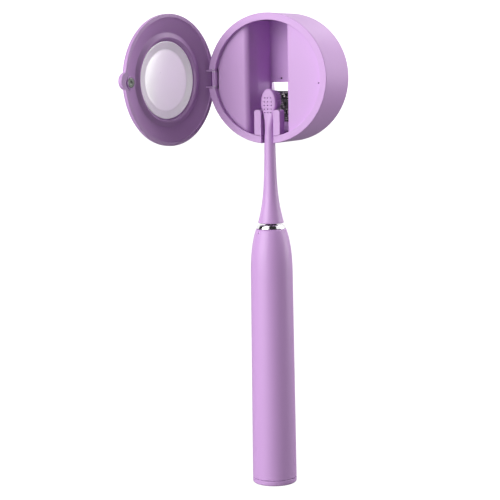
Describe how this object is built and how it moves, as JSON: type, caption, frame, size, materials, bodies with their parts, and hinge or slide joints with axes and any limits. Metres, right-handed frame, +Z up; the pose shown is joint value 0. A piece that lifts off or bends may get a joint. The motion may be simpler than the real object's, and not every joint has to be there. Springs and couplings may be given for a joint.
{
  "type": "toothbrush sanitizer",
  "caption": "Round wall-hung toothbrush sanitizer with a hinged lid, a lamp window behind the brush head and an electric toothbrush hanging in its fork.",
  "frame": {"origin": "centre of the wall face, which is the back of the adhesive pad", "axes": "+Y points out of the wall face into the wall, so the case opens towards -Y; +Z points up"},
  "size_m": [0.1041, 0.1157, 0.301],
  "materials": {
    "wall_plate": "moulded satin lilac plastic",
    "adhesive_pad": "white double-sided foam pad",
    "case_shell": "moulded satin lilac plastic",
    "hinge_pin": "drawn steel wire",
    "chamber_liner": "moulded satin lilac plastic",
    "brush_fork": "moulded satin lilac plastic",
    "back_cover": "moulded satin lilac plastic",
    "back_cover_screw_1": "zinc-plated steel",
    "back_cover_screw_2": "zinc-plated steel",
    "back_cover_screw_3": "zinc-plated steel",
    "back_cover_screw_4": "zinc-plated steel",
    "lamp_tray": "white reflective plastic, lit by the lamp",
    "lamp_board": "black solder resist",
    "uv_led_1": "lamp chip in a clear window",
    "uv_led_2": "lamp chip in a clear window",
    "uv_led_3": "lamp chip in a clear window",
    "uv_led_4": "lamp chip in a clear window",
    "battery_cell": "laminated foil pouch cell",
    "main_board": "green circuit board",
    "charging_socket": "folded steel socket shell",
    "catch_plate": "plated steel disc",
    "lid_sensor": "black sensor package",
    "lid_liner": "moulded satin lilac plastic",
    "lid_shell": "moulded satin lilac plastic",
    "lid_reflector": "satin white reflective plastic",
    "lid_magnet": "dull nickel-plated magnet",
    "toothbrush_head": "moulded satin lilac plastic",
    "toothbrush_bristles": "lilac nylon bristle field",
    "toothbrush_handle": "smooth satin lilac plastic",
    "toothbrush_end_cap": "smooth satin lilac plastic",
    "toothbrush_collar": "polished chrome trim ring",
    "toothbrush_shaft_seal": "black silicone",
    "toothbrush_motor": "steel motor can",
    "toothbrush_charging_coil": "enamelled copper winding",
    "toothbrush_battery": "wrapped cell",
    "toothbrush_board": "green circuit board",
    "toothbrush_chassis": "white moulded frame",
    "toothbrush_drive_shaft": "polished steel",
    "toothbrush_button": "soft-touch lilac"
  },
  "bodies": {
    "wall_bracket": {"wall_plate": "wall_plate", "adhesive_pad": "adhesive_pad"},
    "case": {"case_shell": "case_shell", "chamber_liner": "chamber_liner", "brush_fork": "brush_fork", "back_cover": "back_cover", "back_cover_screw_1": "back_cover_screw_1", "back_cover_screw_2": "back_cover_screw_2", "back_cover_screw_3": "back_cover_screw_3", "back_cover_screw_4": "back_cover_screw_4", "lamp_tray": "lamp_tray", "lamp_board": "lamp_board", "uv_led_1": "uv_led_1", "uv_led_2": "uv_led_2", "uv_led_3": "uv_led_3", "uv_led_4": "uv_led_4", "battery_cell": "battery_cell", "main_board": "main_board", "charging_socket": "charging_socket", "catch_plate": "catch_plate", "lid_sensor": "lid_sensor", "hinge_pin": "hinge_pin"},
    "lid": {"lid_liner": "lid_liner", "lid_shell": "lid_shell", "lid_reflector": "lid_reflector", "lid_magnet": "lid_magnet"},
    "toothbrush": {"toothbrush_handle": "toothbrush_handle", "toothbrush_end_cap": "toothbrush_end_cap", "toothbrush_collar": "toothbrush_collar", "toothbrush_shaft_seal": "toothbrush_shaft_seal", "toothbrush_motor": "toothbrush_motor", "toothbrush_charging_coil": "toothbrush_charging_coil", "toothbrush_battery": "toothbrush_battery", "toothbrush_board": "toothbrush_board", "toothbrush_chassis": "toothbrush_chassis"},
    "brush_drive": {"toothbrush_drive_shaft": "toothbrush_drive_shaft"},
    "brush_head": {"toothbrush_head": "toothbrush_head", "toothbrush_bristles": "toothbrush_bristles"},
    "power_button": {"toothbrush_button": "toothbrush_button"}
  },
  "joints": [
    {"name": "case_lift", "type": "slide", "parent": "wall_bracket", "child": "case", "axis": [0, 0, 1], "range_m": [0, 0.008]},
    {"name": "lid_hinge", "type": "hinge", "parent": "case", "child": "lid", "pos_m": [-0.0377, -0.03653, 0], "axis": [0, 0, 1], "range_deg": [0, 103.7]},
    {"name": "toothbrush_lift", "type": "slide", "parent": "case", "child": "toothbrush", "axis": [0, 0, 1], "range_m": [0, 0.01]},
    {"name": "shaft_turn", "type": "hinge", "parent": "toothbrush", "child": "brush_drive", "pos_m": [0, -0.0355, -0.1], "axis": [0, 0, 1], "range_deg": [-4, 4], "stiffness_Nm_per_rad": 0.5},
    {"name": "head_pull_off", "type": "slide", "parent": "brush_drive", "child": "brush_head", "axis": [0, 0, 1], "range_m": [0, 0.012]},
    {"name": "button_press", "type": "slide", "parent": "toothbrush", "child": "power_button", "axis": [0, -1, 0], "range_m": [0, 0.0006], "stiffness_N_per_m": 800}
  ]
}
